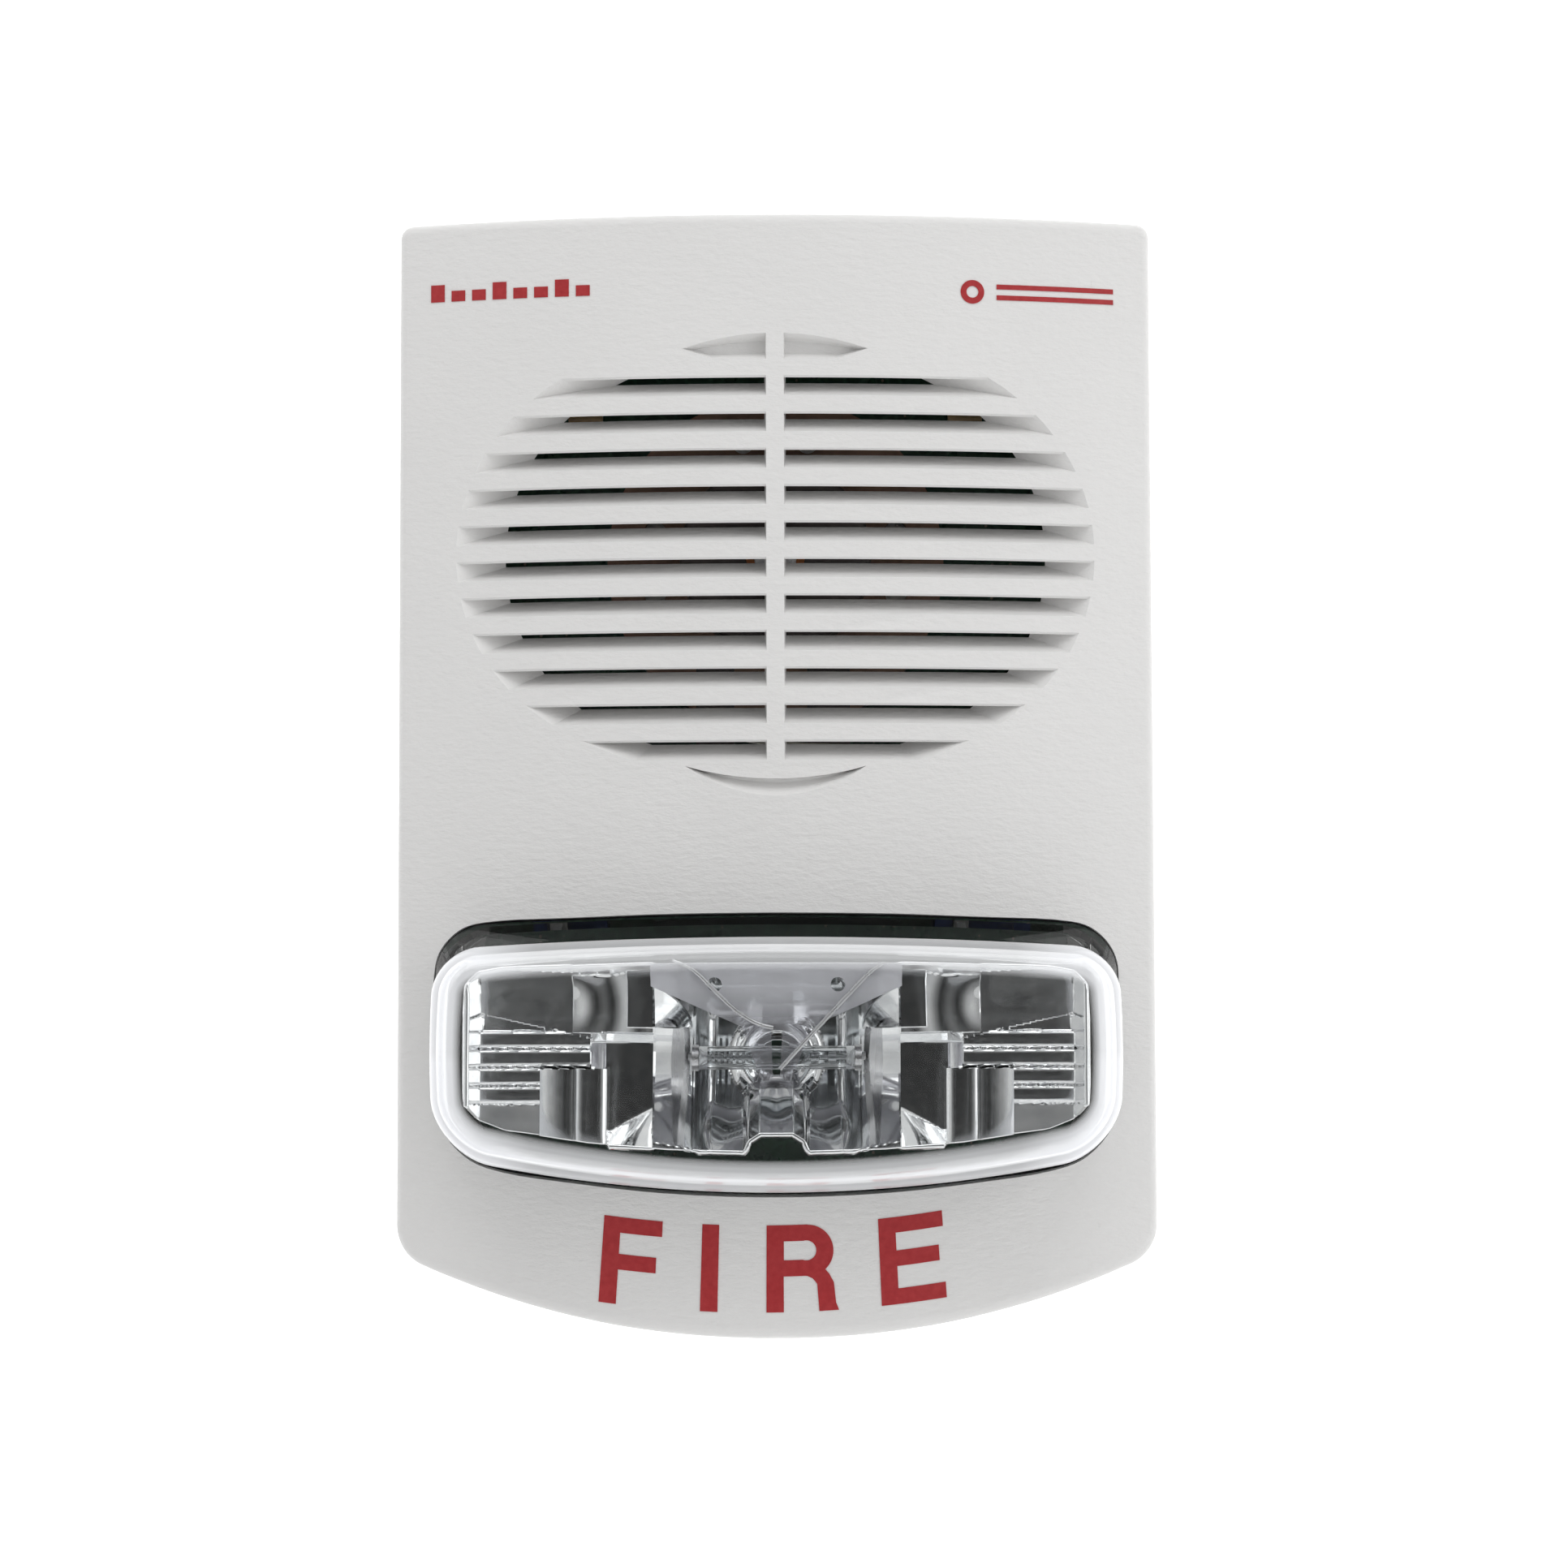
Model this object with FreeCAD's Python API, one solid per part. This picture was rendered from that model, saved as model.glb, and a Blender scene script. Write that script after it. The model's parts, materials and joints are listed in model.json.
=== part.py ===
import FreeCAD, Part
import math
import os

# Wall-mounted horn strobe. Millimetres. +Z up, the front faces -Y, the wall is the plane y = 0.
# The origin is the centre of the mounting face.

V = FreeCAD.Vector

# ---- overall ----
WIDTH = 140.0
HEIGHT = 206.0
FACE_Y = -41.0            # front of the cover on its centre line
FACE_R = 250.0            # the face is a slice of an upright cylinder
AXIS_Y = FACE_Y + FACE_R  # where that cylinder's axis stands
SKIN = 2.5                # cover wall
BOTTOM_R = 172.0          # bow of the cover's bottom edge
COVER_BACK_Y = -1.0

# ---- grille ----
GRILLE_Z = 40.2
GRILLE_PITCH = 6.706
BAR_H = 3.4
GAP_H = GRILLE_PITCH - BAR_H
TOP_SLOT_Z = 72.33        # upper edge of the highest through slot
SLOTS = 11
BAR_EASE = 0.7            # easing of each bar's lower front edge
LOUVRE_DEPTH = 6.2
LOUVRE_SLOPE = GAP_H / LOUVRE_DEPTH
POST_FRONT = 1.5          # half width of the upright post
POST_BACK = 2.1

# ---- strobe window (the lens) ----
LENS_HALF_BASE = 62.0
LENS_HALF_FRONT = 60.2
LENS_TOP_BASE = -28.4
LENS_TOP_FRONT = -32.6
LENS_LOW_BASE = -70.0
LENS_LOW_FRONT = -68.4
LENS_BASE_Y = -34.0
LENS_SHOULDER_Y = -37.5   # behind this the window slopes out to its base
LENS_SHOULDER_SHARE = 0.85
LENS_RIM_Y = -58.0        # where the rounded rim starts
LENS_RIM_R = 6.0
LENS_WALL = 2.2
LENS_TOP_BOW = 2.2
LENS_LOW_BOW = 6.9
LENS_SIDE_BOW = 0.8
FLANGE_BACK_Y = -28.2
FLANGE_FRONT_Y = -30.2
FLANGE_REACH = 2.4        # how far the flange stands out past the window's base
COLLAR_BACK_Y = -31.0
COLLAR_GAP = 0.4
COLLAR_WALL = 2.0

# ---- inside ----
PLATE_Y = -2.5            # front of the mounting plate
BOARD_BACK_Y = -12.0
BOARD_Y = -13.6           # front of the circuit board
HORN_Z = 40.5
HORN_R = 31.7
LAMP_Z = -52.2            # flash tube axis
LAMP_Y = -38.0
TUBE_LEAD_X = 11.0        # where the tube's leads pass through the reflector
REFLECTOR_FRONT_Y = -46.0
REFLECTOR_BACK_Y = -30.0
REFLECTOR_HALF = 55.4
REFLECTOR_TOP = -34.2
REFLECTOR_LOW = -68.8
MOUNT_X = 46.0 / 2        # two-gang wall box screw spacing
MOUNT_Z = 83.3 / 2
MOUNT_HOLE_R = 2.2
TERMINAL_PITCH = 10.5
TERMINAL_Z = -20.0
BOARD_SCREW_SPOTS = ((46.0, 84.0), (49.0, -2.0), (50.0, -74.0))
BOARD_SCREWS = [(x * s, z) for x, z in BOARD_SCREW_SPOTS for s in (-1, 1)]
PEGS = [(57.0 * s, z) for z in (91.0, -83.0) for s in (-1, 1)]


def block(x0, x1, y0, y1, z0, z1):
    return Part.makeBox(x1 - x0, y1 - y0, z1 - z0, V(x0, y0, z0))


def rod_y(radius, x, z, y0, y1):
    return Part.makeCylinder(radius, y1 - y0, V(x, y0, z), V(0, 1, 0))


def rod_x(radius, y, z, x0, x1):
    return Part.makeCylinder(radius, x1 - x0, V(x0, y, z), V(1, 0, 0))


def tube_y(outer, inner, x, z, y0, y1):
    return rod_y(outer, x, z, y0, y1).cut(rod_y(inner, x, z, y0, y1))


def plate(points, y0, y1):
    """A flat piece whose outline is given as (x, z) corners."""
    corners = [V(x, y0, z) for x, z in points]
    wire = Part.makePolygon(corners + corners[:1])
    return Part.Face(wire).extrude(V(0, y1 - y0, 0))


def frustum(front, y0, back, y1):
    """Four-sided taper between two (x0, x1, z0, z1) rectangles."""
    wires = []
    for (x0, x1, z0, z1), y in ((front, y0), (back, y1)):
        corners = [V(x0, y, z0), V(x1, y, z0), V(x1, y, z1), V(x0, y, z1)]
        wires.append(Part.makePolygon(corners + corners[:1]))
    return Part.makeLoft(wires, True, True)


def fuse(first, *others):
    return first.fuse(list(others)).removeSplitter() if others else first


def group(shapes):
    return Part.makeCompound(shapes)


def wire_run(points, radius):
    """A round wire bent through the points."""
    curve = Part.BSplineCurve()
    curve.interpolate([V(*p) for p in points])
    path = Part.Wire(curve.toShape())
    start = curve.getD0(curve.FirstParameter)
    along = curve.tangent(curve.FirstParameter)[0]
    ring = Part.Wire(Part.makeCircle(radius, start, along))
    return path.makePipeShell([ring], True, False)


def save(name, shape):
    shape.exportStep("parts/" + name + ".step")
    print(name, len(shape.Solids), round(shape.Volume, 1), shape.isValid())


# ---------------------------------------------------------------- cover

def face_drum(shrink):
    return Part.makeCylinder(FACE_R - shrink, 300, V(0, AXIS_Y, -150), V(0, 0, 1))


def cover_prism(inset, y0, y1, top_round, low_round):
    """The face outline: straight top and sides, bowed bottom, rounded corners."""
    half = WIDTH / 2 - inset
    top = HEIGHT / 2 - inset
    low = -HEIGHT / 2 + inset
    bow_r = BOTTOM_R - inset
    corner = low + bow_r - math.sqrt(bow_r ** 2 - half ** 2)
    right_top, right_low = V(half, y0, top), V(half, y0, corner)
    left_top, left_low = V(-half, y0, top), V(-half, y0, corner)
    wire = Part.Wire([
        Part.makeLine(left_top, right_top),
        Part.makeLine(right_top, right_low),
        Part.Arc(right_low, V(0, y0, low), left_low).toShape(),
        Part.makeLine(left_low, left_top),
    ])
    solid = Part.Face(wire).extrude(V(0, y1 - y0, 0))
    for z_test, radius in ((top, top_round), (corner, low_round)):
        edges = [e for e in solid.Edges
                 if all(abs(v.Z - z_test) < 0.01 and abs(abs(v.X) - half) < 0.01 for v in e.Vertexes)]
        solid = solid.makeFillet(radius, edges)
    return solid


def cover_shell():
    outer = cover_prism(0, FACE_Y - 4, COVER_BACK_Y, 2.5, 8.0).common(face_drum(0))
    rim = [e for e in outer.Edges
           if all(abs(math.hypot(v.X, v.Y - AXIS_Y) - FACE_R) < 0.01 for v in e.Vertexes)]
    outer = outer.makeFillet(2.0, rim)
    hollow = cover_prism(SKIN, FACE_Y - 4, 5, 1.0, 5.5).common(face_drum(SKIN))
    return outer.cut(hollow)


def ellipse_wire(half_x, half_z, y):
    flat = Part.Ellipse(V(0, y, GRILLE_Z), half_x, half_z)
    flat.Axis = V(0, -1, 0)
    flat.XAxis = V(1, 0, 0)
    return Part.Wire(flat.toShape())


def grille_pad():
    disc = Part.Face(ellipse_wire(61.5, 44.5, FACE_Y - 2)).extrude(V(0, 30, 0))
    return disc.common(face_drum(0.5)).cut(face_drum(LOUVRE_DEPTH))


def grille_dish():
    """Limits the louvre pockets: through in the middle, fading out at the grille's edge."""
    return Part.makeLoft([ellipse_wire(81.5, 43.9, -45.0), ellipse_wire(49.1, 35.4, -29.0)], True, True)


def sweep_round_face(section, half_angle):
    """Turns (depth below the face, z) points about the face's axis."""
    corners = [V(0, FACE_Y + depth, z) for depth, z in section]
    face = Part.Face(Part.makePolygon(corners + corners[:1]))
    face.rotate(V(0, AXIS_Y, 0), V(0, 0, 1), -half_angle)
    return face.revolve(V(0, AXIS_Y, 0), V(0, 0, 1), 2 * half_angle)


def louvre_gap(z_top, depth):
    """The sloping space under one bar, rising towards the back; the bar's lower front edge is eased."""
    z_low = z_top - GAP_H
    under = z_top - BAR_EASE / 2
    out = 1.0
    section = [
        (-out, z_low - out * LOUVRE_SLOPE),
        (depth, z_low + depth * LOUVRE_SLOPE),
        (depth, under + depth * LOUVRE_SLOPE),
        (BAR_EASE * 1.5, under + BAR_EASE * 1.5 * LOUVRE_SLOPE),
        (BAR_EASE * 0.6, under + BAR_EASE * 0.55),
        (BAR_EASE * 0.1, under + BAR_EASE),
        (-out, under + BAR_EASE * 1.4),
    ]
    return sweep_round_face(section, 14.5)


def grille_post():
    front, back = FACE_Y - 2, FACE_Y + LOUVRE_DEPTH + 2
    right = [V(POST_FRONT, front, -10), V(POST_BACK, back, -10)]
    left = [V(-POST_BACK, back, -10), V(-POST_FRONT, front, -10)]
    outline = right + left
    return Part.Face(Part.makePolygon(outline + outline[:1])).extrude(V(0, 0, 110))


def crescent(y, half, z_tips, z_low, z_high):
    """Closed outline of two arcs that meet in a point at each side."""
    left, right = V(-half, y, z_tips), V(half, y, z_tips)
    return Part.Wire([
        Part.Arc(left, V(0, y, z_low), right).toShape(),
        Part.Arc(right, V(0, y, z_high), left).toShape(),
    ])


def upper_pocket():
    """Blind pocket above the highest bar, pointed at both ends, with a sloping upper lip."""
    z_bar = TOP_SLOT_Z + GRILLE_PITCH - GAP_H
    mouth = Part.makeLoft([
        crescent(FACE_Y - 1, 18.6, z_bar + 1.9, z_bar - 1.7, z_bar + 5.2),
        crescent(FACE_Y + 3, 14.8, z_bar + 2.2, z_bar - 0.2, z_bar + 3.8),
    ], True, True)
    front, back = -1.5, 4.0
    above_bar = [
        (front, z_bar + front * LOUVRE_SLOPE),
        (back, z_bar + back * LOUVRE_SLOPE),
        (back, z_bar + 9),
        (front, z_bar + 9),
    ]
    return mouth.common(sweep_round_face(above_bar, 6.0))


def lower_scoop():
    """Shallow crescent that slopes in under the lowest bar."""
    z_bar = TOP_SLOT_Z - SLOTS * GRILLE_PITCH
    return Part.makeLoft([
        crescent(FACE_Y - 1, 18.5, z_bar + 2.9, z_bar - 4.1, z_bar),
        crescent(FACE_Y + 2.6, 14.0, z_bar + 1.6, z_bar - 0.5, z_bar),
    ], True, True)


def grille_cuts():
    dish = grille_dish()
    post = grille_post()
    cuts = []
    for i in range(SLOTS):
        gap = louvre_gap(TOP_SLOT_Z - i * GRILLE_PITCH, LOUVRE_DEPTH + 1.0)
        cuts.append(gap.common(dish).cut(post))
    cuts.append(upper_pocket().cut(post))
    cuts.append(lower_scoop())
    return cuts


# ---------------------------------------------------------------- window outline

def window_curve(half, z_top, z_low, y, grow=0.0):
    """Closed curve of the strobe window: rounded corners, bowed top, sides and bottom."""
    half, z_top, z_low = half + grow, z_top + grow, z_low - grow
    r_top, r_low = max(8.0 + grow, 1.5), max(10.0 + grow, 2.0)
    middle = (z_top + z_low) / 2
    span = (z_top - z_low) / 2
    corners = [
        (half - r_top, z_top - r_top, r_top, 0, 7),
        (r_top - half, z_top - r_top, r_top, 90, 2),
        (r_low - half, z_low + r_low, r_low, 180, 7),
        (half - r_low, z_low + r_low, r_low, 270, 2),
    ]
    points = []
    for k, (cx, cz, radius, start, between) in enumerate(corners):
        arc = []
        for i in range(6):
            angle = math.radians(start + 18 * i)
            arc.append((cx + radius * math.cos(angle), cz + radius * math.sin(angle)))
        points += arc
        nx, nz, nr, nstart, _ = corners[(k + 1) % 4]
        angle = math.radians(nstart)
        target = (nx + nr * math.cos(angle), nz + nr * math.sin(angle))
        for i in range(1, between + 1):
            t = i / (between + 1)
            x = arc[-1][0] + (target[0] - arc[-1][0]) * t
            z = arc[-1][1] + (target[1] - arc[-1][1]) * t
            points.append((x, z))
    bent = []
    for x, z in points:
        v = (z - middle) / span
        bow = LENS_TOP_BOW * v if v > 0 else LENS_LOW_BOW * v
        bent.append(V(x + LENS_SIDE_BOW * (1 - v * v) * x / half, y, z + bow * (1 - (x / half) ** 2)))
    curve = Part.BSplineCurve()
    curve.interpolate(bent, PeriodicFlag=True)
    return Part.Wire(curve.toShape())


def window_at(y, grow=0.0):
    """The window outline at depth y: a sloping shoulder at the base, then nearly straight walls."""
    if y > LENS_SHOULDER_Y:
        t = LENS_SHOULDER_SHARE * max(0.0, (LENS_BASE_Y - y) / (LENS_BASE_Y - LENS_SHOULDER_Y))
    else:
        along = min(1.0, (LENS_SHOULDER_Y - y) / (LENS_SHOULDER_Y - LENS_RIM_Y))
        t = LENS_SHOULDER_SHARE + (1 - LENS_SHOULDER_SHARE) * along
    half = LENS_HALF_BASE + (LENS_HALF_FRONT - LENS_HALF_BASE) * t
    top = LENS_TOP_BASE + (LENS_TOP_FRONT - LENS_TOP_BASE) * t
    low = LENS_LOW_BASE + (LENS_LOW_FRONT - LENS_LOW_BASE) * t
    return window_curve(half, top, low, y, grow)


def window_prism(grow, y0, y1):
    wire = window_curve(LENS_HALF_BASE, LENS_TOP_BASE, LENS_LOW_BASE, y0, grow)
    return Part.Face(wire).extrude(V(0, y1 - y0, 0))


def window_dome(shrink, rim_r, y_back):
    """Solid inside of the window: tapering walls, rounded rim, flat front."""
    wires = [window_at(y, -shrink) for y in (y_back, LENS_BASE_Y, LENS_SHOULDER_Y, LENS_RIM_Y)]
    for degrees in (18, 36, 54, 72, 90):
        angle = math.radians(degrees)
        inward = rim_r * (1 - math.cos(angle))
        wires.append(window_at(LENS_RIM_Y - rim_r * math.sin(angle), -shrink - inward))
    return Part.makeLoft(wires, True, True)


def lens():
    outside = window_dome(0, LENS_RIM_R, FLANGE_BACK_Y)
    inside = window_dome(LENS_WALL, LENS_RIM_R - LENS_WALL, FLANGE_BACK_Y + 6)
    flange = window_prism(FLANGE_REACH, FLANGE_FRONT_Y, FLANGE_BACK_Y)
    flange = flange.cut(window_prism(-0.5, FLANGE_FRONT_Y - 1, FLANGE_BACK_Y + 1))
    return fuse(outside.cut(inside), flange)


def lens_gasket():
    pad = window_prism(FLANGE_REACH - 0.2, COLLAR_BACK_Y, FLANGE_FRONT_Y)
    return pad.cut(window_prism(0.1, COLLAR_BACK_Y - 1, FLANGE_FRONT_Y + 1))


def cover():
    shell = cover_shell()
    collar = window_prism(COLLAR_GAP + COLLAR_WALL, FACE_Y - 2, COLLAR_BACK_Y).common(face_drum(0.5))
    rib_front = FACE_Y + LOUVRE_DEPTH - 0.3
    slot_rib = block(-52, 52, rib_front, rib_front + 2.1, 42.2, 44.2).common(face_drum(5.0))
    pegs = [rod_y(2.0, x, z, -34, -6) for x, z in PEGS]
    seat = window_prism(FLANGE_REACH + 0.3, COLLAR_BACK_Y, COLLAR_BACK_Y + 6)
    body = shell.fuse([grille_pad(), collar] + pegs)
    body = body.cut(window_prism(COLLAR_GAP, FACE_Y - 2, COLLAR_BACK_Y + 2))
    body = body.cut([seat] + grille_cuts())
    return body.fuse([slot_rib]).removeSplitter()


# ---------------------------------------------------------------- printing on the face

def printed(shapes):
    """Ink-thin layer of the given prisms on the curved face."""
    layer = face_drum(-0.12).cut(face_drum(0))
    return group([shape.common(layer) for shape in shapes])


def lettering():
    """The word FIRE, its letters bent to follow the cover's bottom edge."""
    height, stroke, base_z = 15.6, 3.1, -97.9
    bow, tilt, lean = 0.00224, 0.0143, 0.0022
    front, back = FACE_Y - 3, FACE_Y + 6
    top, arm = height - 2.8, 2.8

    def bend(points):
        return [(x - lean * (z - height / 2) * x, base_z + z + (bow * x + tilt) * x) for x, z in points]

    def strip(x0, x1, z0, z1):
        steps = 3
        low = [(x0 + (x1 - x0) * i / steps, z0) for i in range(steps + 1)]
        high = [(x, z1) for x, _ in reversed(low)]
        return plate(bend(low + high), front, back)

    def upright(x):
        return strip(x, x + stroke, 0, height)

    def disc(radius, x):
        return rod_y(radius, x, base_z + height - 4.5, front - 1, back + 1)

    letter_f = fuse(upright(-31.8), strip(-31.8, -21.0, top, height),
                    strip(-31.8, -21.9, 6.2, 6.2 + arm))
    letter_i = upright(-13.7)
    bowl = disc(4.6, 5.6).common(plate([(4, -95), (12, -95), (12, -80), (4, -80)], front, back))
    head = strip(-1.9, 5.6, 6.4, height)
    leg = plate(bend([(4.2, 7.0), (6.4, 5.9), (7.2, 4.9), (7.5, 0), (11.0, 0), (10.5, 1.4),
                      (10.2, 5.0), (9.4, 6.6), (8.4, 7.8), (4.6, 7.8)]), front, back)
    counter = [strip(1.25, 5.4, 6.5 + arm, height - arm - 0.1), disc(1.8, 5.3)]
    letter_r = fuse(upright(-1.9), head, bowl, leg).cut(counter)
    letter_e = fuse(upright(18.6), strip(18.6, 30.4, top, height),
                    strip(18.6, 29.4, 6.8, 6.8 + arm), strip(18.6, 30.2, 0, arm))
    return printed([letter_f, letter_i, letter_r, letter_e])


def corner_marks():
    """Two plain decorative marks near the upper corners."""
    left = []
    for i in range(8):
        x = -64.0 + 3.9 * i
        tall = 3.2 if i % 3 == 0 else 2.0
        left.append(block(x, x + 2.6, FACE_Y - 3, FACE_Y + 12, 88.0, 88.0 + tall))
    right = []
    ring = tube_y(2.2, 1.1, 36.5, 88.6, FACE_Y - 3, FACE_Y + 12)
    right.append(ring)
    for z in (87.2, 89.2):
        right.append(block(41.0, 63.0, FACE_Y - 3, FACE_Y + 12, z, z + 0.9))
    return printed(left + right)


# ---------------------------------------------------------------- back plate and board

def chassis():
    body = cover_prism(3.4, -9.0, 0, 1.0, 4.0)
    body = body.cut(cover_prism(5.0, -10.0, PLATE_Y, 1.0, 3.0))
    bosses = [rod_y(3.6, x, z, BOARD_BACK_Y, -1) for x, z in BOARD_SCREWS]
    sockets = [rod_y(4.0, x, z, -14, -1) for x, z in PEGS]
    body = body.fuse(bosses + sockets)
    holes = [rod_y(MOUNT_HOLE_R, x * MOUNT_X, z * MOUNT_Z, -5, 1) for x in (-1, 1) for z in (-1, 1)]
    holes += [rod_y(1.25, x, z, BOARD_BACK_Y - 1, -2.5) for x, z in BOARD_SCREWS]
    holes += [rod_y(2.5, x, z, -15, -3.5) for x, z in PEGS]
    holes.append(block(-21, 21, -4, 1, -35, -7))
    return body.cut(holes).removeSplitter()


def main_board():
    right = [(50, 90), (52, 88), (52, -14), (56, -18), (56, -77.5), (51.5, -80.5), (51.5, -86.5), (46, -91)]
    left = [(-x, z) for x, z in reversed(right)]
    board = plate(right + left, BOARD_Y, BOARD_BACK_Y)
    window = block(-21, 21, BOARD_Y - 1, BOARD_BACK_Y + 1, -11, 1)
    holes = [rod_y(1.7, x, z, BOARD_Y - 1, BOARD_BACK_Y + 1) for x, z in BOARD_SCREWS]
    return board.cut([window] + holes)


def pan_screw(x, z, head_y, head_r, head_h, shank_r, shank_len):
    """Cross-slotted screw driven in from the front; head_y is the underside of its head."""
    head = rod_y(head_r, x, z, head_y - head_h, head_y)
    screw = fuse(head, rod_y(shank_r, x, z, head_y, head_y + shank_len))
    slot_deep = head_h * 0.5
    for half_x, half_z in ((head_r * 0.75, 0.4), (0.4, head_r * 0.75)):
        screw = screw.cut(block(x - half_x, x + half_x, head_y - head_h - 1, head_y - head_h + slot_deep,
                                z - half_z, z + half_z))
    return screw


def board_screws():
    return group([pan_screw(x, z, BOARD_Y, 2.9, 2.0, 1.2, 9.0) for x, z in BOARD_SCREWS])


# ---------------------------------------------------------------- wiring terminals

TERMINAL_X = [TERMINAL_PITCH * (i - 1.5) for i in range(4)]
TERMINAL_FRONT_Y = -26.0
CLAMP_Y = -21.4           # back of a wire clamp plate, screw tight


def terminal_housing():
    body = block(-23, 23, TERMINAL_FRONT_Y, BOARD_Y, TERMINAL_Z - 7, TERMINAL_Z + 7)
    cuts = []
    for x in TERMINAL_X:
        cuts.append(rod_y(4.0, x, TERMINAL_Z, TERMINAL_FRONT_Y - 1, -17.6))
        cuts.append(block(x - 3.6, x + 3.6, -24.9, -17.6, TERMINAL_Z - 3.6, TERMINAL_Z + 8))
        cuts.append(rod_y(2.2, x, TERMINAL_Z, -18, -14.6))
    for x in (-21.6, 21.6):
        cuts.append(block(x - 0.6, x + 0.6, TERMINAL_FRONT_Y - 1, -17, TERMINAL_Z - 5, TERMINAL_Z + 5))
    return body.cut(cuts)


def terminal_nuts():
    nuts = []
    for x in TERMINAL_X:
        nut = block(x - 3.5, x + 3.5, -19.0, -17.6, TERMINAL_Z - 3.5, TERMINAL_Z + 3.5)
        nuts.append(nut.cut(rod_y(1.56, x, TERMINAL_Z, -20, -17)))
    return group(nuts)


def wire_clamp(x):
    clamp = block(x - 3.1, x + 3.1, CLAMP_Y - 1.0, CLAMP_Y, TERMINAL_Z - 3.1, TERMINAL_Z + 3.1)
    lip = block(x - 3.1, x + 3.1, CLAMP_Y, CLAMP_Y + 0.7, TERMINAL_Z - 3.1, TERMINAL_Z - 2.3)
    return fuse(clamp, lip).cut(rod_y(1.56, x, TERMINAL_Z, CLAMP_Y - 3, CLAMP_Y + 3))


def terminal_screw(x):
    return pan_screw(x, TERMINAL_Z, CLAMP_Y - 1.1, 3.0, 2.0, 1.5, 7.6)


# ---------------------------------------------------------------- board parts

def flash_capacitor():
    can = rod_x(6.5, -20.4, -83.0, -42.0, -12.0)
    groove = rod_x(8, -20.4, -83.0, -38.6, -37.8).cut(rod_x(6.1, -20.4, -83.0, -39, -37))
    return can.cut(groove)


def flash_capacitor_seal():
    return fuse(rod_x(5.4, -20.4, -83.0, -42.8, -42.0), rod_x(0.5, -18.0, -80.5, -44.6, -42.6),
                rod_x(0.5, -18.0, -85.5, -44.6, -42.6))


def trigger_transformer():
    core = block(-6, 6, -25.0, BOARD_Y, -89.0, -78.0)
    return core.cut([block(-7, -4.6, -22.6, -16.0, -90, -77), block(4.6, 7, -22.6, -16.0, -90, -77)])


def transformer_winding():
    return group([block(s * 5.5 - 0.8, s * 5.5 + 0.8, -22.4, -16.2, -88.0, -79.0) for s in (-1, 1)])


def inductor():
    spool = rod_y(5.4, 18.0, -83.5, -24.0, BOARD_Y)
    return spool.cut(tube_y(6.4, 3.4, 18.0, -83.5, -22.4, -15.4))


def inductor_winding():
    return tube_y(5.0, 3.4, 18.0, -83.5, -22.3, -15.5)


def heatsink():
    back = block(28, 42, -26.0, BOARD_Y, -78.6, -77.4)
    fins = [block(28.2 + 2.6 * i, 29.2 + 2.6 * i, -26.0, BOARD_Y, -77.4, -73.0) for i in range(6)]
    return fuse(back, *fins)


def power_transistor():
    body = block(30, 40, -24.0, -15.0, -83.2, -78.7)
    legs = [block(34.5 + 2.5 * i, 35.5 + 2.5 * i, -15.2, BOARD_Y, -81.4, -80.8) for i in (-1, 0, 1)]
    return fuse(body, *legs)


def chips():
    return group([
        block(28, 38, BOARD_Y - 1.8, BOARD_Y, -16, -10),
        block(-40, -32, BOARD_Y - 1.8, BOARD_Y, -10, -2),
        block(26, 31, BOARD_Y - 1.4, BOARD_Y, 4, 8),
    ])


def resistors():
    rows = []
    for i in range(5):
        z = 80.0 - 3.6 * i
        rows.append(rod_x(1.2, BOARD_Y - 1.3, z, 33.0, 39.5))
        rows.append(rod_x(1.2, BOARD_Y - 1.3, z, -39.5, -33.0))
    return group(rows)


def film_capacitors():
    return group([
        block(-48, -38, -22.0, BOARD_Y, 6.0, 11.0),
        block(38, 47, -20.5, BOARD_Y, 14.0, 18.5),
        block(-30, -22, -20.0, BOARD_Y, -8.0, -3.5),
    ])


HEADER_PINS = (30.2, 33.8)


def horn_header():
    body = block(27.5, 36.5, -20.0, BOARD_Y, -6.8, -2.6)
    return body.cut([block(x - 1.5, x + 1.5, -21, -15.2, -6.0, -2.0) for x in HEADER_PINS])


def selector_body():
    body = block(30, 48, -19.0, BOARD_Y, -27.0, -18.0)
    return body.cut(block(33.0, 45.0, -20, -16.0, -24.6, -20.4))


def selector_knob():
    return fuse(block(33.6, 36.4, -18.4, -16.4, -24.2, -20.8), block(34.2, 35.8, -21.6, -18.4, -23.6, -21.4))


def tone_switch_body():
    body = block(-46, -32, -18.4, BOARD_Y, -27.0, -19.0)
    return body.cut(block(-43.4, -34.6, -20, -15.8, -25.0, -21.0))


def tone_switch_lever():
    foot = block(-42.9, -39.7, -18.0, -16.2, -24.6, -21.4)
    return fuse(foot, block(-42.1, -40.5, -21.0, -18.0, -23.8, -22.2))


# ---------------------------------------------------------------- horn

def horn_case():
    case = rod_y(HORN_R, 0, HORN_Z, -20.0, BOARD_Y)
    return case.cut(rod_y(HORN_R - 2.2, 0, HORN_Z, -21, -15.2))


def horn_diaphragm():
    dome = fuse(rod_y(28.8, 0, HORN_Z, -17.9, -17.5), rod_y(5.0, 0, HORN_Z, -18.3, -17.9))
    ripple = tube_y(24.0, 22.0, 0, HORN_Z, -18.15, -17.9)
    return fuse(dome, ripple)


def horn_baffle():
    disc = rod_y(HORN_R, 0, HORN_Z, -22.0, -20.0)
    cuts = [rod_y(12.0, 0, HORN_Z, -23, -19)]
    for i in range(12):
        angle = math.radians(30 * i + 15)
        cuts.append(rod_y(2.0, 23.5 * math.cos(angle), HORN_Z + 23.5 * math.sin(angle), -23, -19))
    return disc.cut(cuts)


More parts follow.
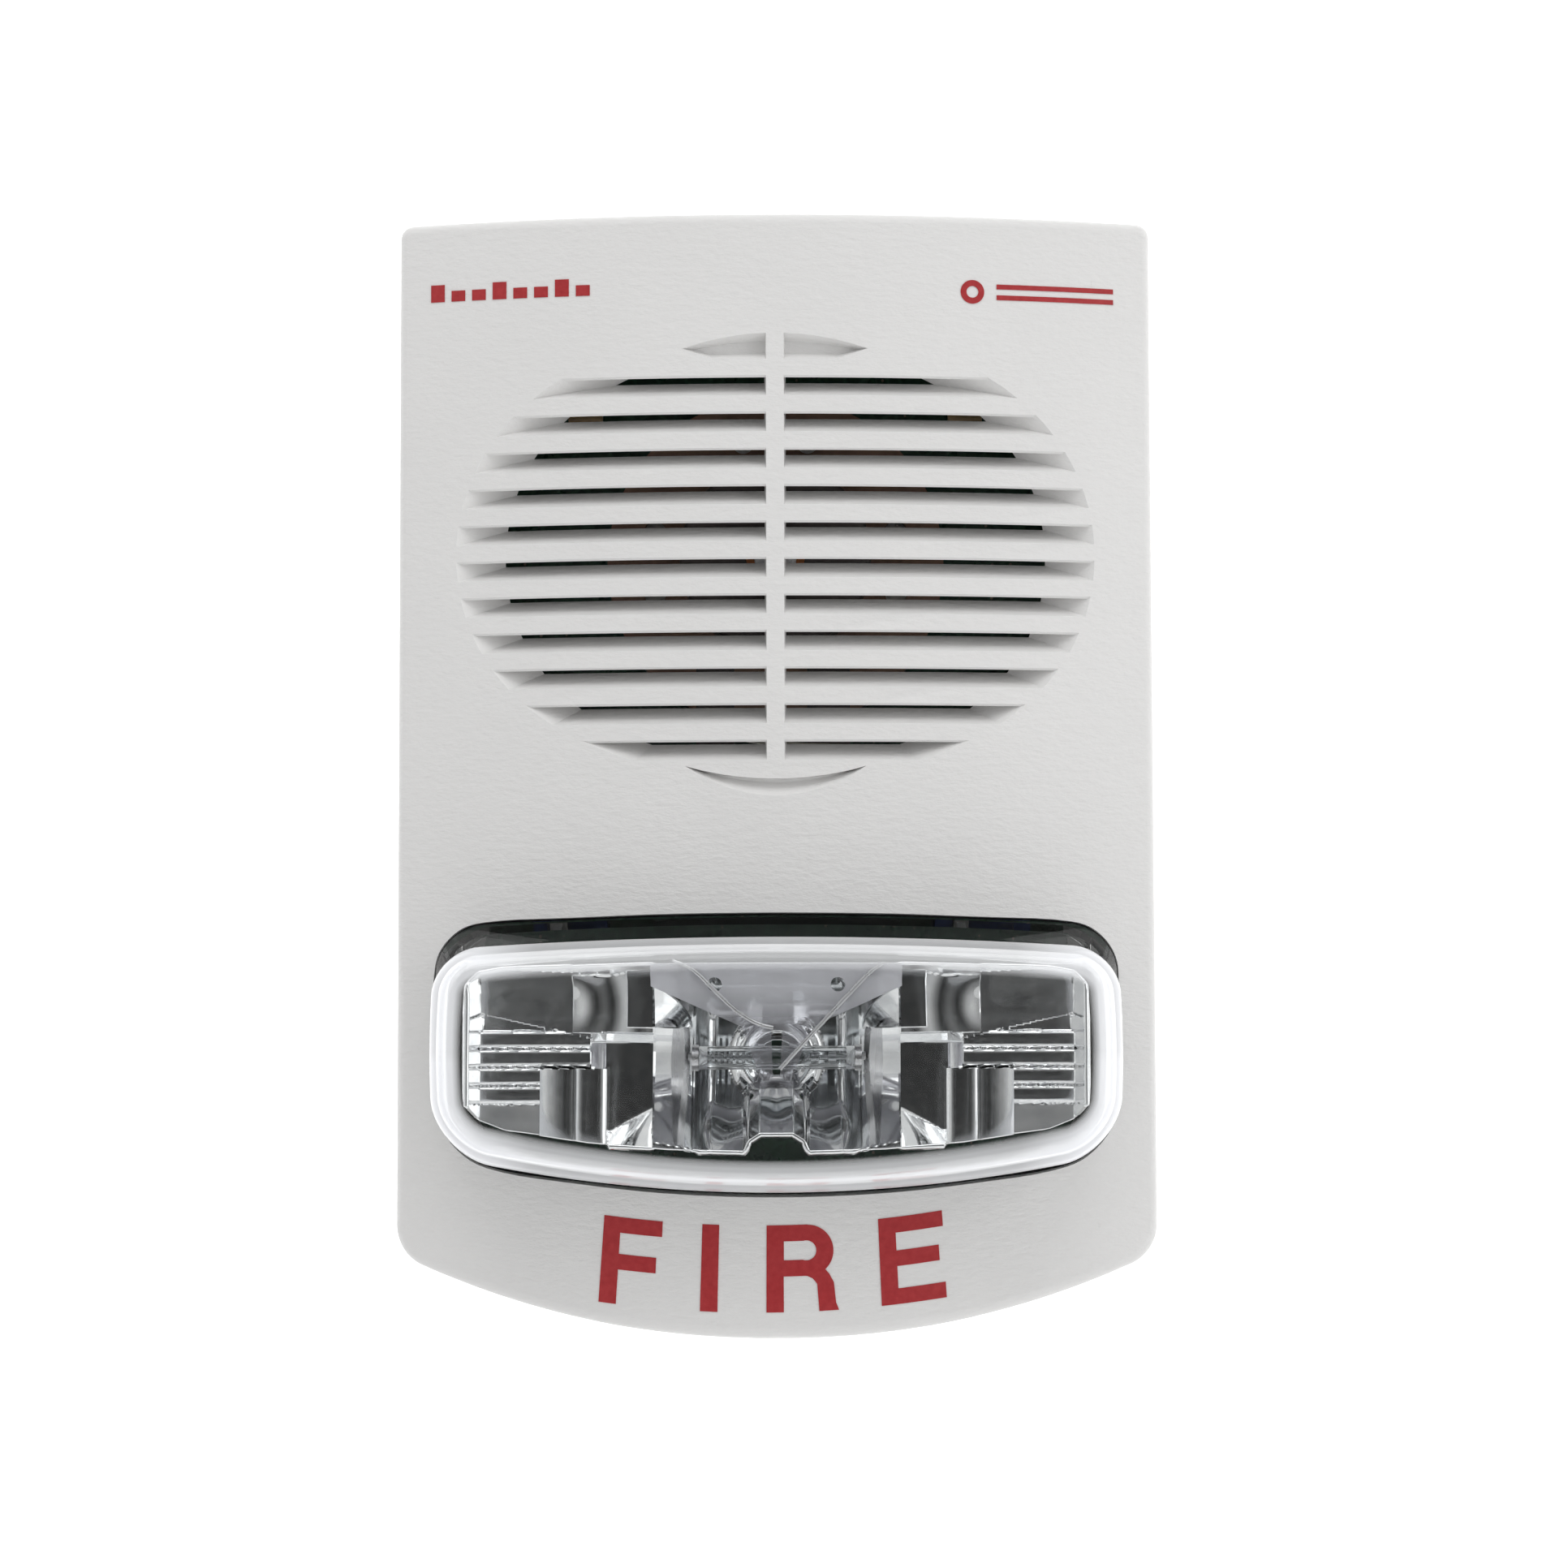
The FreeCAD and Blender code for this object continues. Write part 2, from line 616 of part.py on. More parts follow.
def horn_can():
    can = rod_y(17.8, 0, HORN_Z, -32.6, -22.0)
    can = can.makeFillet(1.2, [e for e in can.Edges if all(abs(v.Y + 32.6) < 0.01 for v in e.Vertexes)
                               and e.Length > 50])
    return can.cut([rod_y(15.8, 0, HORN_Z, -31.0, -21), rod_y(5.5, 0, HORN_Z, -34, -30)])


def horn_coil():
    return tube_y(9.0, 4.0, 0, HORN_Z, -30.8, -21.0)


def horn_pole():
    return rod_y(3.9, 0, HORN_Z, -31.6, -19.4)


def horn_legs():
    legs = []
    for x0, x1 in ((-14.9, -7.8), (5.9, 13.9)):
        front = block(x0, x1, -24.2, -22.0, 4.0, 24.0).cut(rod_y(17.9, 0, HORN_Z, -30, -20))
        legs.append(fuse(front, block(x0, x1, -22.0, BOARD_Y, 4.0, 6.5)))
    return group(legs)


def horn_leads():
    near, far = HEADER_PINS
    return group([
        wire_run([(9.0, -25.0, 12.0), (15.0, -25.6, 9.5), (24.0, -25.0, 8.0),
                  (near, -22.0, 1.0), (near, -15.9, -4.4)], 0.6),
        wire_run([(-12.0, -24.9, 9.0), (0.0, -27.0, 6.0), (18.0, -27.4, 5.0),
                  (far, -23.0, 2.0), (far, -15.9, -4.4)], 0.6),
    ])


# ---------------------------------------------------------------- strobe optics

def reflector_outline():
    h, top, low = REFLECTOR_HALF, REFLECTOR_TOP, REFLECTOR_LOW
    right = [(3.0, low + 3.2), (5.2, low + 1.8), (6.0, low), (19.5, low + 0.4), (33.5, low + 1.6),
             (43.0, low + 3.0), (49.0, low + 3.8), (53.6, low + 5.6), (h, low + 8.2),
             (h, top - 4.4), (53.2, top - 1.8), (49.0, top - 0.7), (23.4, top)]
    return right + [(-x, z) for x, z in reversed(right)]


def reflector():
    """Mirrored pan: a central bowl behind the tube between two ribbed wings."""
    top, low = REFLECTOR_TOP, REFLECTOR_LOW
    front, back = REFLECTOR_FRONT_Y, REFLECTOR_BACK_Y
    floor, wall = -40.0, 1.2
    outline = reflector_outline()
    inner = [(x * 0.978, z - wall if z > LAMP_Z else z + wall) for x, z in outline]
    pan = plate(outline, front, floor).cut(plate(inner, front - 1, floor - wall))
    mouth = front + 0.6
    bowl_out = frustum((-25.0, 25.0, low + 4.1, top - 4.2), mouth, (-13.4, 13.4, -61.8, -45.2), back)
    bowl_in = frustum((-23.8, 23.8, low + 5.6, top - 5.4), mouth, (-12.0, 12.0, -60.4, -46.6), back - wall)
    pan = pan.fuse(bowl_out).cut(bowl_in)
    ribs = []
    boxes = []
    posts = []
    for s in (-1, 1):
        for z in (-48.2, -53.4, -58.6):
            start = 37.0 if s > 0 else -53.8
            ribs.append(rod_x(2.4, floor - 0.6, z, start, start + 16.8))
        left, right = sorted((s * 31.0, s * 43.0))
        boxes.append(block(left, right, front + 0.4, floor - 0.4, -65.0, -54.2))
        for z in (-41.5, -62.0):
            posts.append(rod_y(2.4, s * 48.0, z, floor - 0.4, BOARD_Y))
    body = pan.fuse(ribs + boxes + posts)
    holes = [rod_y(3.0, 0, LAMP_Z, -33, -28)]
    holes += [rod_y(1.6, s * TUBE_LEAD_X, LAMP_Z, -40, -28) for s in (-1, 1)]
    return body.cut(holes).removeSplitter()


def flash_tube():
    return rod_x(2.15, LAMP_Y, LAMP_Z, -14.2, 14.2).cut(rod_x(1.35, LAMP_Y, LAMP_Z, -12.6, 12.6))


def tube_electrodes():
    """End caps, and inside the glass a wound cathode on one side and a beaded anode on the other."""
    caps = [rod_x(2.4, LAMP_Y, LAMP_Z, x, x + 1.2) for x in (-15.4, 14.2)]
    turns = [rod_x(1.0, LAMP_Y, LAMP_Z, -11.8 + 1.1 * i, -11.3 + 1.1 * i) for i in range(8)]
    cathode = fuse(rod_x(0.45, LAMP_Y, LAMP_Z, -12.6, -3.0), *turns)
    beads = [rod_x(1.0, LAMP_Y, LAMP_Z, x, x + 1.4) for x in (6.2, 9.4)]
    anode = fuse(rod_x(0.45, LAMP_Y, LAMP_Z, 5.4, 12.6), *beads)
    return group(caps + [cathode, anode])


def tube_leads():
    leads = []
    for s in (-1, 1):
        run = [(14.8, LAMP_Y + 2.7), (13.3, -33.9), (TUBE_LEAD_X, -31.4), (TUBE_LEAD_X, -26.0),
               (TUBE_LEAD_X, BOARD_Y - 0.3)]
        leads.append(wire_run([(s * x, y, LAMP_Z) for x, y in run], 0.4))
    return group(leads)


def tube_retainer():
    """Clear clip that drops over the tube from above."""
    y0, y1 = REFLECTOR_FRONT_Y - 1.4, REFLECTOR_FRONT_Y - 0.4
    right = [(22.6, -34.4), (22.6, -39.2), (6.3, -46.4), (2.6, -56.2), (0.6, -56.2), (1.0, -47.0)]
    left = [(-x, z) for x, z in reversed(right)]
    web = plate(right + left, y0, y1).cut([rod_y(1.3, x, -38.9, y0 - 1, y1 + 1) for x in (-11.1, 11.1)])
    stem = block(-3.6, 3.6, y1 - 0.5, LAMP_Y - 2.5, -44.8, -43.6)
    tabs = [block(x, x + 2, y1 - 0.5, -43.0, -37.6, -36.4) for x in (-19, 17)]
    return fuse(web, stem, *tabs)


def trigger_wires():
    return group([
        wire_run([(-18.5, -47.9, -33.6), (-13.0, -48.4, -38.0),
                  (-4.0, -48.2, -45.6), (-0.6, -48.2, -46.6)], 0.4),
        wire_run([(19.4, -47.9, -34.2), (9.0, -48.3, -44.8), (0.6, -48.2, -54.0)], 0.4),
    ])


def main():
    os.makedirs("parts", exist_ok=True)
    save("cover", cover())
    save("lens", lens())
    save("lens_gasket", lens_gasket())
    save("lettering", lettering())
    save("corner_marks", corner_marks())
    save("chassis", chassis())
    save("main_board", main_board())
    save("board_screws", board_screws())
    save("terminal_housing", terminal_housing())
    save("terminal_nuts", terminal_nuts())
    for i, x in enumerate(TERMINAL_X, 1):
        save("wire_clamp_%d" % i, wire_clamp(x))
        save("terminal_screw_%d" % i, terminal_screw(x))
    save("flash_capacitor", flash_capacitor())
    save("flash_capacitor_seal", flash_capacitor_seal())
    save("trigger_transformer", trigger_transformer())
    save("transformer_winding", transformer_winding())
    save("inductor", inductor())
    save("inductor_winding", inductor_winding())
    save("heatsink", heatsink())
    save("power_transistor", power_transistor())
    save("chips", chips())
    save("resistors", resistors())
    save("film_capacitors", film_capacitors())
    save("horn_header", horn_header())
    save("selector_body", selector_body())
    save("selector_knob", selector_knob())
    save("tone_switch_body", tone_switch_body())
    save("tone_switch_lever", tone_switch_lever())
    save("horn_case", horn_case())
    save("horn_diaphragm", horn_diaphragm())
    save("horn_baffle", horn_baffle())
    save("horn_can", horn_can())
    save("horn_coil", horn_coil())
    save("horn_pole", horn_pole())
    save("horn_legs", horn_legs())
    save("horn_leads", horn_leads())
    save("reflector", reflector())
    save("flash_tube", flash_tube())
    save("tube_electrodes", tube_electrodes())
    save("tube_leads", tube_leads())
    save("tube_retainer", tube_retainer())
    save("trigger_wires", trigger_wires())


main()
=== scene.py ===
import json
import math

import bpy
import numpy as np
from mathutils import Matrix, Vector


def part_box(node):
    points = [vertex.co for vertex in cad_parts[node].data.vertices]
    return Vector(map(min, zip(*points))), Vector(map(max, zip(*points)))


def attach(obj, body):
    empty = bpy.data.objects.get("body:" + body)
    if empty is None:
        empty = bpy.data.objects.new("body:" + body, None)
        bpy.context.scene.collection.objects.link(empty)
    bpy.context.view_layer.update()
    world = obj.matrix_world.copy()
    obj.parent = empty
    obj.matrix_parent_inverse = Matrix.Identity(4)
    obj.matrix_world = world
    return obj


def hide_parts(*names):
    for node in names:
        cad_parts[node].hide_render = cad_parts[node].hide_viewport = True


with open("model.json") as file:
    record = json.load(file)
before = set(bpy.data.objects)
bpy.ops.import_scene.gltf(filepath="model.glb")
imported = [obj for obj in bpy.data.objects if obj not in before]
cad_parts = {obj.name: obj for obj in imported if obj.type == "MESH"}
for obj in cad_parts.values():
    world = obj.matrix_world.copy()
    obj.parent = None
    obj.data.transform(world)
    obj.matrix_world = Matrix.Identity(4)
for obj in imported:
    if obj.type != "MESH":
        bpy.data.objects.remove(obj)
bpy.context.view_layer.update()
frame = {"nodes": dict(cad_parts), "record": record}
NODES = frame["nodes"]
MM = 0.001

# ---- the cover's face and the strobe window, as in the CAD, in millimetres ----
LENS_HALF_BASE = 62.0
LENS_HALF_FRONT = 60.2
LENS_TOP_BASE = -28.4
LENS_TOP_FRONT = -32.6
LENS_LOW_BASE = -70.0
LENS_LOW_FRONT = -68.4
LENS_BASE_Y = -34.0
LENS_SHOULDER_Y = -37.5
LENS_SHOULDER_SHARE = 0.85
LENS_RIM_Y = -58.0
LENS_RIM_R = 6.0
LENS_WALL = 2.2
LENS_TOP_BOW = 2.2
LENS_LOW_BOW = 6.9
LENS_SIDE_BOW = 0.8
LAMP_Z = -52.2
RIM_RINGS = 12
RIM_ANGLES = np.linspace(7.5, 90, RIM_RINGS)
FLANGE_REACH = 2.4
FLANGE_THICK = 2.0

# ---- the reflector, in millimetres ----
PAN_COLUMNS = 441
PAN_ROWS = 141
PAN_SHEET = 1.0
MIDDLE_HOLE_R = 2.9
LEAD_HOLE_R = 1.5
LEAD_HOLE_X = 11.0
POST_X = 48.0
POST_Z = (-41.5, -62.0)
POST_SIDES = 24

# ---- the camera and the room ----
CAMERA_PLACE = (0.0014, -0.631, -0.0375)
CAMERA_TILT = math.radians(93.4)
CAMERA_ROLL = math.radians(0.15)
CAMERA_LENS = 74.53
SENSOR_WIDTH = 36.0
ROOM_HALF, WALL_Y, FLOOR_Z, WALL_TOP_Z = 3000, 420, -700, 2600


# ---------------------------------------------------------------- small helpers

def mesh_object(name, points, faces, smooth_angle=35.0):
    """A mesh from points in millimetres."""
    mesh = bpy.data.meshes.new(name)
    mesh.from_pydata([tuple(p) for p in np.asarray(points, float) * MM], [], faces)
    mesh.update()
    mesh.shade_smooth()
    mesh.set_sharp_from_angle(angle=math.radians(smooth_angle))
    piece = bpy.data.objects.new(name, mesh)
    bpy.context.scene.collection.objects.link(piece)
    return piece


def dress(piece, material, body):
    piece.data.materials.clear()
    piece.data.materials.append(material)
    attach(piece, body)


class Look:
    """A material being put together around one Principled surface."""

    def __init__(self, name):
        self.material = bpy.data.materials.new(name)
        self.material.use_nodes = True
        self.tree = self.material.node_tree
        self.surface = self.tree.nodes["Principled BSDF"]
        self.output = self.tree.nodes["Material Output"]
        self.place = self.tree.nodes.new("ShaderNodeTexCoord").outputs["Object"]

    def add(self, kind, **values):
        node = self.tree.nodes.new("ShaderNode" + kind)
        for key, value in values.items():
            node.inputs[key.replace("_", " ")].default_value = value
        return node

    def join(self, source, target):
        self.tree.links.new(source, target)
        return target

    def set(self, **values):
        for key, value in values.items():
            self.surface.inputs[key.replace("_", " ")].default_value = value

    def stretched(self, x, y, z):
        """The object's own coordinates, stretched."""
        node = self.add("Mapping")
        node.inputs["Scale"].default_value = (x, y, z)
        self.join(self.place, node.inputs["Vector"])
        return node.outputs["Vector"]

    def noise(self, scale, detail=4.0, place=None, roughness=0.5):
        node = self.add("TexNoise", Scale=scale, Detail=detail, Roughness=roughness)
        self.join(place or self.place, node.inputs["Vector"])
        return node.outputs["Fac"]

    def spread(self, value, low, high):
        """Maps a 0.3..0.7 noise onto low..high."""
        node = self.add("MapRange", From_Min=0.3, From_Max=0.7, To_Min=low, To_Max=high)
        self.join(value, node.inputs["Value"])
        return node.outputs["Result"]

    def blend(self, factor, first, second):
        node = self.tree.nodes.new("ShaderNodeMix")
        node.data_type = "RGBA"
        self.join(factor, node.inputs["Factor"])
        for socket, colour in ((node.inputs["A"], first), (node.inputs["B"], second)):
            if hasattr(colour, "default_value"):
                self.join(colour, socket)
            else:
                socket.default_value = (*colour, 1.0)
        return node.outputs["Result"]

    def bump(self, height, strength, distance):
        node = self.add("Bump", Strength=strength, Distance=distance)
        self.join(height, node.inputs["Height"])
        self.join(node.outputs["Normal"], self.surface.inputs["Normal"])
        return node


def worn(name, colour, rough, metallic=0.0, shift=0.12, grain=900.0, depth=0.00003, coat=0.0):
    """A plain material with fine grain, uneven colour and uneven gloss."""
    look = Look(name)
    dark = tuple(c * (1 - shift) for c in colour)
    light = tuple(min(1.0, c * (1 + shift)) for c in colour)
    patches = look.spread(look.noise(160.0, 5.0), 0.0, 1.0)
    look.join(look.blend(patches, dark, light), look.surface.inputs["Base Color"])
    gloss = look.spread(look.noise(420.0, 3.0), rough * 0.8, rough * 1.2)
    look.join(gloss, look.surface.inputs["Roughness"])
    look.bump(look.noise(grain, 3.0), 0.5, depth)
    look.set(Metallic=metallic, Coat_Weight=coat)
    return look.material


# ---------------------------------------------------------------- materials

def cover_plastic(name, colour):
    """Moulded plastic with a fine wrinkled leather grain."""
    look = Look(name)
    patches = look.spread(look.noise(28.0, 5.0), 0.0, 1.0)
    dark = tuple(c * 0.975 for c in colour)
    look.join(look.blend(patches, dark, colour), look.surface.inputs["Base Color"])
    look.join(look.spread(look.noise(300.0, 3.0), 0.46, 0.60), look.surface.inputs["Roughness"])
    wrinkles = look.noise(720.0, 3.0, look.stretched(0.55, 1.0, 1.35), 0.60)
    look.bump(wrinkles, 0.70, 0.00030)
    return look.material


def clear_plastic(name, ior=1.56, tint=(0.99, 1.0, 1.0), shade=0.9):
    """Clear plastic that lets lamps through: shadow rays pass on, dimmed to the share given by shade."""
    look = Look(name)
    look.set(Base_Color=(*tint, 1.0), Transmission_Weight=1.0, IOR=ior)
    look.join(look.spread(look.noise(90.0, 3.0), 0.0, 0.012), look.surface.inputs["Roughness"])
    look.bump(look.noise(60.0, 2.0), 0.15, 0.00004)
    path = look.tree.nodes.new("ShaderNodeLightPath")
    through = look.add("BsdfTransparent", Color=(shade, shade, shade, 1.0))
    mix = look.tree.nodes.new("ShaderNodeMixShader")
    look.join(path.outputs["Is Shadow Ray"], mix.inputs["Fac"])
    look.join(look.surface.outputs["BSDF"], mix.inputs[1])
    look.join(through.outputs["BSDF"], mix.inputs[2])
    look.join(mix.outputs["Shader"], look.output.inputs["Surface"])
    return look


def window_with_painted_rim_light(name):
    """Clear in the flat of the window; its thick rounded rim is painted whitish and given a painted glow,
    standing in for the light the clear rim gathers.
    """
    look = clear_plastic(name, shade=0.62)
    # The rim attribute is a painted-light mask: where it is high, the plastic turns less clear and whiter
    # and gets a painted glow.
    rim = look.tree.nodes.new("ShaderNodeAttribute")
    rim.attribute_name = "rim"
    clear = look.add("MapRange", From_Min=0.0, From_Max=1.0, To_Min=1.0, To_Max=0.22)
    look.join(rim.outputs["Fac"], clear.inputs["Value"])
    look.join(clear.outputs["Result"], look.surface.inputs["Transmission Weight"])
    tint = look.blend(rim.outputs["Fac"], (0.99, 1.0, 1.0), (0.90, 0.91, 0.94))
    look.join(tint, look.surface.inputs["Base Color"])
    # Painted glow: emission on the rim, which is no lamp, weighted by the rim mask.
    glow = look.blend(rim.outputs["Fac"], (0.0, 0.0, 0.0), (0.93, 0.95, 1.0))
    look.join(glow, look.surface.inputs["Emission Color"])
    look.set(Emission_Strength=0.18)
    return look.material


def clip_plastic(name):
    """Hazy clear plastic, hazier towards its wide top."""
    look = clear_plastic(name, 1.49, (0.86, 0.86, 0.90))
    split = look.add("SeparateXYZ")
    look.join(look.place, split.inputs["Vector"])
    clear = look.add("MapRange", From_Min=-0.0470, From_Max=-0.0400, To_Min=0.88, To_Max=0.42)
    look.join(split.outputs["Z"], clear.inputs["Value"])
    look.join(clear.outputs["Result"], look.surface.inputs["Transmission Weight"])
    return look.material


def mirror_plastic(name):
    """Vacuum-metallised plastic with faint ripple and dust."""
    look = Look(name)
    haze = look.spread(look.noise(220.0, 4.0), 0.0, 1.0)
    look.join(look.blend(haze, (0.78, 0.79, 0.80), (0.90, 0.90, 0.90)), look.surface.inputs["Base Color"])
    look.join(look.spread(look.noise(500.0, 3.0), 0.04, 0.10), look.surface.inputs["Roughness"])
    look.bump(look.noise(90.0, 2.0), 0.20, 0.00008)
    look.set(Metallic=1.0)
    return look.material


def red_ink(name):
    look = Look(name)
    grain = look.spread(look.noise(900.0, 4.0), 0.0, 1.0)
    ink = look.blend(grain, (0.36, 0.014, 0.018), (0.43, 0.026, 0.030))
    look.join(ink, look.surface.inputs["Base Color"])
    look.join(look.spread(look.noise(400.0, 3.0), 0.40, 0.55), look.surface.inputs["Roughness"])
    look.bump(look.noise(620.0, 3.0, look.stretched(0.55, 1.0, 1.35)), 0.4, 0.00012)
    return look.material


def board_green(name):
    """Solder mask with copper tracks beneath and small tinned pads."""
    look = Look(name)
    tracks = look.add("TexVoronoi", Scale=260.0)
    tracks.feature = "DISTANCE_TO_EDGE"
    look.join(look.stretched(1.0, 0.02, 1.0), tracks.inputs["Vector"])
    line = look.add("MapRange", From_Min=0.05, From_Max=0.09, To_Min=1.0, To_Max=0.0)
    look.join(tracks.outputs["Distance"], line.inputs["Value"])
    green = look.blend(line.outputs["Result"], (0.022, 0.060, 0.036), (0.032, 0.085, 0.050))
    pads = look.add("TexVoronoi", Scale=420.0)
    look.join(look.stretched(1.0, 0.02, 1.0), pads.inputs["Vector"])
    dot = look.add("MapRange", From_Min=0.10, From_Max=0.14, To_Min=1.0, To_Max=0.0)
    look.join(pads.outputs["Distance"], dot.inputs["Value"])
    dotted = look.blend(dot.outputs["Result"], green, (0.16, 0.15, 0.11))
    look.join(dotted, look.surface.inputs["Base Color"])
    look.join(look.spread(look.noise(300.0, 3.0), 0.25, 0.40), look.surface.inputs["Roughness"])
    look.bump(line.outputs["Result"], 0.4, 0.00004)
    return look.material


def wound_wire(name, colour, turns):
    """Closely wound enamelled wire."""
    look = Look(name)
    wave = look.add("TexWave", Scale=turns, Distortion=0.6, Detail=2.0)
    wave.bands_direction = "Y"
    look.join(look.place, wave.inputs["Vector"])
    dark = tuple(c * 0.45 for c in colour)
    look.join(look.blend(wave.outputs["Fac"], dark, colour), look.surface.inputs["Base Color"])
    look.join(look.spread(look.noise(500.0, 3.0), 0.25, 0.45), look.surface.inputs["Roughness"])
    look.bump(wave.outputs["Fac"], 0.6, 0.0001)
    look.set(Metallic=0.6)
    return look.material


def make_materials():
    return {
        "cover_plastic": cover_plastic("cover_plastic", (0.80, 0.795, 0.787)),
        "plate_plastic": cover_plastic("plate_plastic", (0.70, 0.69, 0.67)),
        "clear_window": window_with_painted_rim_light("clear_window"),
        "clear_clip": clip_plastic("clear_clip"),
        "tube_glass": clear_plastic("tube_glass", 1.46, (0.80, 0.82, 0.83)).material,
        "mirror_chrome": mirror_plastic("mirror_chrome"),
        "red_ink": red_ink("red_ink"),
        "board_green": board_green("board_green"),
        "black_rubber": worn("black_rubber", (0.018, 0.018, 0.018), 0.75),
        "steel": worn("steel", (0.60, 0.60, 0.61), 0.28, metallic=1.0),
        "terminal_black": worn("terminal_black", (0.022, 0.022, 0.024), 0.50),
        "brass": worn("brass", (0.62, 0.46, 0.20), 0.32, metallic=1.0),
        "sleeve_black": worn("sleeve_black", (0.012, 0.012, 0.016), 0.28, coat=0.3),
        "ferrite": worn("ferrite", (0.035, 0.035, 0.038), 0.60),
        "tape_yellow": worn("tape_yellow", (0.70, 0.42, 0.04), 0.35),
        "copper": wound_wire("copper", (0.62, 0.24, 0.09), 700.0),
        "heatsink_aluminium": worn("heatsink_aluminium", (0.50, 0.51, 0.53), 0.38, metallic=1.0),
        "chip_black": worn("chip_black", (0.016, 0.016, 0.018), 0.50),
        "resistor_tan": worn("resistor_tan", (0.52, 0.36, 0.18), 0.35),
        "film_red": worn("film_red", (0.36, 0.04, 0.02), 0.30),
        "header_white": worn("header_white", (0.72, 0.70, 0.64), 0.45),
        "switch_blue": worn("switch_blue", (0.02, 0.05, 0.24), 0.40),
        "knob_white": worn("knob_white", (0.78, 0.78, 0.75), 0.42),
        "horn_black": worn("horn_black", (0.075, 0.062, 0.055), 0.55),
        "diaphragm_metal": worn("diaphragm_metal", (0.58, 0.58, 0.56), 0.34, metallic=1.0),
        "baffle_brown": worn("baffle_brown", (0.24, 0.145, 0.10), 0.60, shift=0.25),
        "lead_white": worn("lead_white", (0.66, 0.64, 0.56), 0.40),
        "clamp_zinc": worn("clamp_zinc", (0.55, 0.55, 0.53), 0.36, metallic=1.0),
    }


# ---------------------------------------------------------------- strobe window

def window_outline(half, z_top, z_low, steps=14):
    """Rounded outline with bowed top, sides and bottom, as (x, z) rows."""
    r_top, r_low = 8.0, 10.0
    shrink = LENS_HALF_FRONT - half
    if shrink > 0:
        r_top, r_low = max(8.0 - shrink, 1.5), max(10.0 - shrink, 2.0)
    middle, span = (z_top + z_low) / 2, (z_top - z_low) / 2
    corners = [
        (half - r_top, z_top - r_top, r_top, 0, 40),
        (r_top - half, z_top - r_top, r_top, 90, 8),
        (r_low - half, z_low + r_low, r_low, 180, 40),
        (half - r_low, z_low + r_low, r_low, 270, 8),
    ]
    arcs = []
    for cx, cz, radius, start, _ in corners:
        angles = np.radians(start + np.linspace(0, 90, steps + 1))
        arcs.append(np.column_stack([cx + radius * np.cos(angles), cz + radius * np.sin(angles)]))
    rows = []
    for k, arc in enumerate(arcs):
        rows.append(arc)
        between = corners[k][4]
        t = np.arange(1, between + 1)[:, None] / (between + 1)
        rows.append(arc[-1] + (arcs[(k + 1) % 4][0] - arc[-1]) * t)
    flat = np.vstack(rows)
    x, z = flat[:, 0], flat[:, 1]
    v = (z - middle) / span
    bow = np.where(v > 0, LENS_TOP_BOW * v, LENS_LOW_BOW * v)
    return np.column_stack([x + LENS_SIDE_BOW * (1 - v * v) * x / half, z + bow * (1 - (x / half) ** 2)])


def window_ring(y, shrink):
    """The outline at depth y, moved inwards by shrink, as (x, y, z) rows."""
    t = np.interp(-y, [-LENS_BASE_Y, -LENS_SHOULDER_Y, -LENS_RIM_Y], [0.0, LENS_SHOULDER_SHARE, 1.0])
    half = LENS_HALF_BASE + (LENS_HALF_FRONT - LENS_HALF_BASE) * t - shrink
    top = LENS_TOP_BASE + (LENS_TOP_FRONT - LENS_TOP_BASE) * t - shrink
    low = LENS_LOW_BASE + (LENS_LOW_FRONT - LENS_LOW_BASE) * t + shrink
    flat = window_outline(half, top, low)
    return np.column_stack([flat[:, 0], np.full(len(flat), y), flat[:, 1]])


def window_wall(shrink, rim_r, y_back):
    """Rings from the back edge, up the wall and round the rim to the flat front."""
    depths = [y_back, LENS_BASE_Y] + list(np.linspace(LENS_SHOULDER_Y, LENS_RIM_Y, 6))
    rings = [window_ring(y, shrink) for y in depths]
    for degrees in RIM_ANGLES:
        angle = math.radians(degrees)
        inward = rim_r * (1 - math.cos(angle))
        rings.append(window_ring(LENS_RIM_Y - rim_r * math.sin(angle), shrink + inward))
    return rings


def strobe_window():
    low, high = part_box("lens")
    back = high.y / MM
    outer = window_wall(0.0, LENS_RIM_R, back)
    inner = window_wall(LENS_WALL, LENS_RIM_R - LENS_WALL, back)
    front = back - FLANGE_THICK
    flange = [window_ring(back, -FLANGE_REACH), window_ring(front, -FLANGE_REACH), window_ring(front, 0.0)]
    rings = list(reversed(inner)) + flange + outer[1:]
    count = len(rings[0])
    points = np.vstack(rings)
    faces = []
    for r in range(len(rings) - 1):
        for i in range(count):
            j = (i + 1) % count
            faces.append((r * count + i, r * count + j, (r + 1) * count + j, (r + 1) * count + i))
    faces.append(tuple(range(count - 1, -1, -1)))
    last = (len(rings) - 1) * count
    faces.append(tuple(range(last, last + count)))
    piece = mesh_object("strobe_window", points, faces, 40.0)
    # Painted light on the rim: strongest on its rounded part, set by height above or below the lamp, and
    # lighter towards the sides.
    rim_painted_light = np.zeros(len(rings))
    rim_painted_light[-RIM_RINGS:] = np.interp(RIM_ANGLES, [0, 12, 78, 90], [0.2, 1.0, 0.8, 0.0])
    painted_side_light = np.clip((np.abs(rings[-1][:, 0]) - 42.0) / 10.0, 0.0, 1.0)
    # around: painted light by place round the rim, lighter below the lamp height and at the sides.
    around = np.where(rings[-1][:, 2] > LAMP_Z, 0.50, 0.62) + 0.4 * painted_side_light
    rim = piece.data.attributes.new("rim", "FLOAT", "POINT")
    rim.data.foreach_set("value", np.outer(rim_painted_light, around).ravel().astype(np.float32))
    return piece


# ---------------------------------------------------------------- reflector

